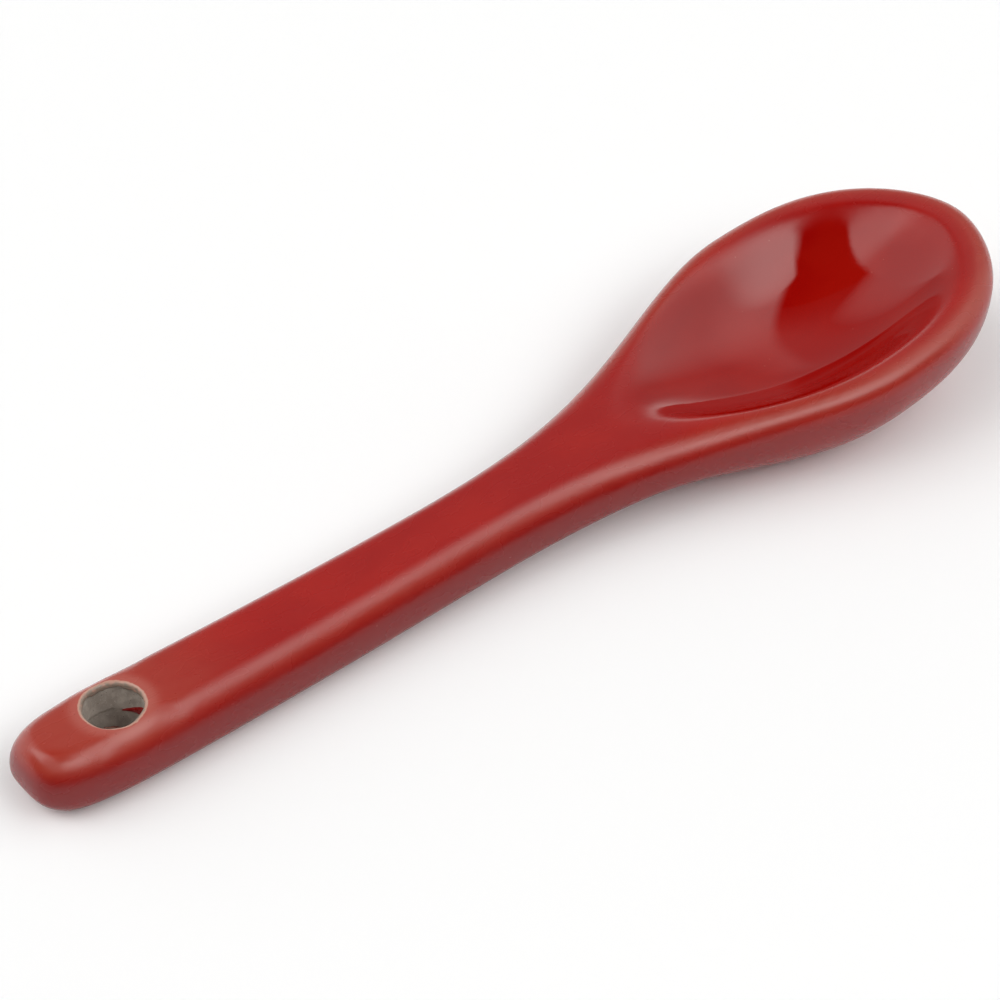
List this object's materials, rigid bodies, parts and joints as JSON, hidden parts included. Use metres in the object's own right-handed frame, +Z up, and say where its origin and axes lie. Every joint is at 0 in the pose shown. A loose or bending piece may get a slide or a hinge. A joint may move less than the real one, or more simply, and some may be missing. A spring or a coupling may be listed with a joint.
{
  "type": "ceramic spoon",
  "caption": "One-piece glazed stoneware spoon with a teardrop bowl, a straight rounded handle and a hanging hole near the handle's end.",
  "frame": {"origin": "on the surface the spoon lies on, below the middle of its bounding box", "axes": "+X from the handle's end to the bowl's tip, +Y across the spoon, +Z up out of the bowl"},
  "size_m": [0.135, 0.0338, 0.0161],
  "materials": {
    "glaze": "deep red glossy glaze, thinner and more orange on edges and round the hole",
    "clay": "bare fired stoneware, matte grey-brown, fine sandy grain"
  },
  "bodies": {
    "root": {"clay_body": "clay", "glaze_coat": "glaze"}
  },
  "joints": []
}
